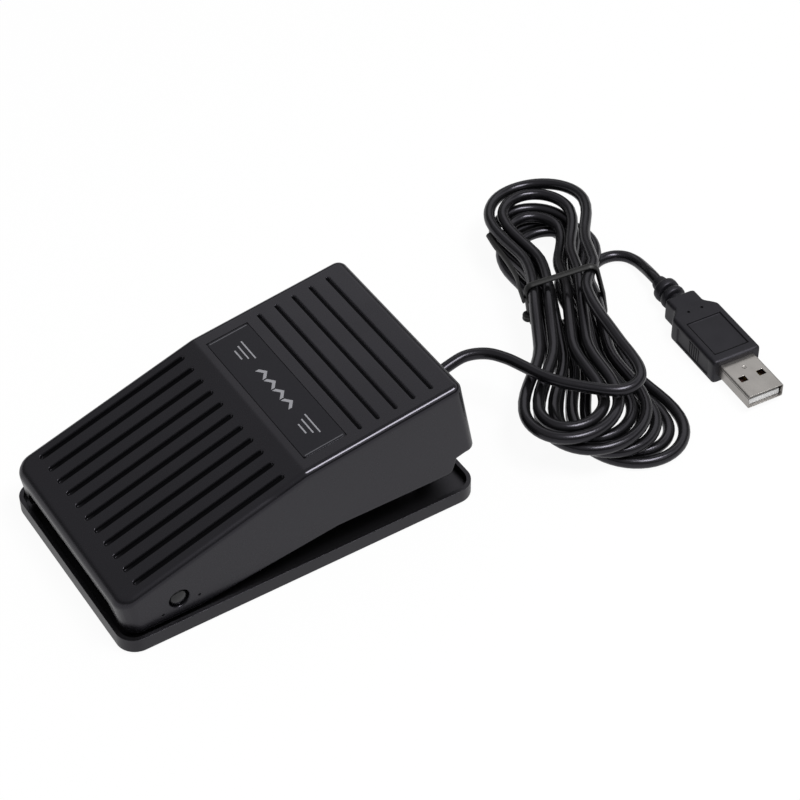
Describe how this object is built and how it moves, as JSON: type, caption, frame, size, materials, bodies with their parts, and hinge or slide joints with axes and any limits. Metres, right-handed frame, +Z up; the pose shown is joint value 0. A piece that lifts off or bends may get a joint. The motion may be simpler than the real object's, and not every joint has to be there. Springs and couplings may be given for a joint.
{
  "type": "usb foot pedal switch",
  "caption": "Foot pedal switch: a grooved two-slope cover hinged on a shallow tray, sprung up, with an optical switch inside and a lead ending in a USB-A plug.",
  "frame": {"origin": "centre of the tray's plan, on the surface that the rubber feet stand on", "axes": "+Y from the low hinged end to the high rear end, +X to the right seen from the low end, +Z up"},
  "size_m": [0.1119, 0.2101, 0.042],
  "materials": {
    "cover_plastic": "black moulded ABS, satin gloss, very fine texture",
    "tray_plastic": "black moulded ABS, semi-matt",
    "pin_plastic": "black acetal, smooth",
    "label_film": "dark polyester label, thin pale border lines",
    "foot_rubber": "black rubber, matt",
    "board_laminate": "green solder mask on glass laminate",
    "gate_plastic": "black moulded plastic",
    "chip_resin": "black epoxy",
    "plated_steel": "bright plated steel",
    "ceramic_passive": "tan ceramic",
    "header_plastic": "natural nylon",
    "wire_insulation": "coloured wire insulation",
    "spring_steel": "bright spring wire",
    "lead_jacket": "black PVC jacket, semi-gloss",
    "lead_rubber": "black rubber",
    "tie_plastic": "black plastic-covered wire tie",
    "plug_moulding": "black overmoulded PVC, matt",
    "plug_nickel": "nickel-plated steel shell",
    "tongue_plastic": "white insulator",
    "contact_gold": "gold-flashed contacts"
  },
  "bodies": {
    "base": {"base_tray": "tray_plastic", "rubber_feet": "foot_rubber", "pivot_pin_left": "pin_plastic", "pivot_pin_right": "pin_plastic", "circuit_board": "board_laminate", "light_gate": "gate_plastic", "controller_chip": "chip_resin", "crystal_can": "plated_steel", "board_passives": "ceramic_passive", "wire_header": "header_plastic", "inner_wires": "wire_insulation", "board_screws": "plated_steel", "cable_clamp": "tray_plastic", "clamp_screws": "plated_steel", "cable_grommet": "lead_rubber", "cable_inner": "lead_jacket", "return_spring": "spring_steel", "cable_lead": "lead_jacket", "cable_hank": "lead_jacket", "cable_tail": "lead_jacket", "cable_tie": "tie_plastic", "plug_boot": "plug_moulding", "plug_body": "plug_moulding", "plug_shell": "plug_nickel", "plug_tongue": "tongue_plastic", "plug_contacts": "contact_gold"},
    "pedal": {"pedal_cover": "cover_plastic", "label_plate": "label_film"}
  },
  "joints": [
    {"name": "pedal_press", "type": "hinge", "parent": "base", "child": "pedal", "pos_m": [0, -0.0374, 0.0111], "axis": [-1, 0, 0], "range_deg": [0, 5], "stiffness_Nm_per_rad": 6, "springref_deg": -4.01, "deforming": ["return_spring"]}
  ]
}
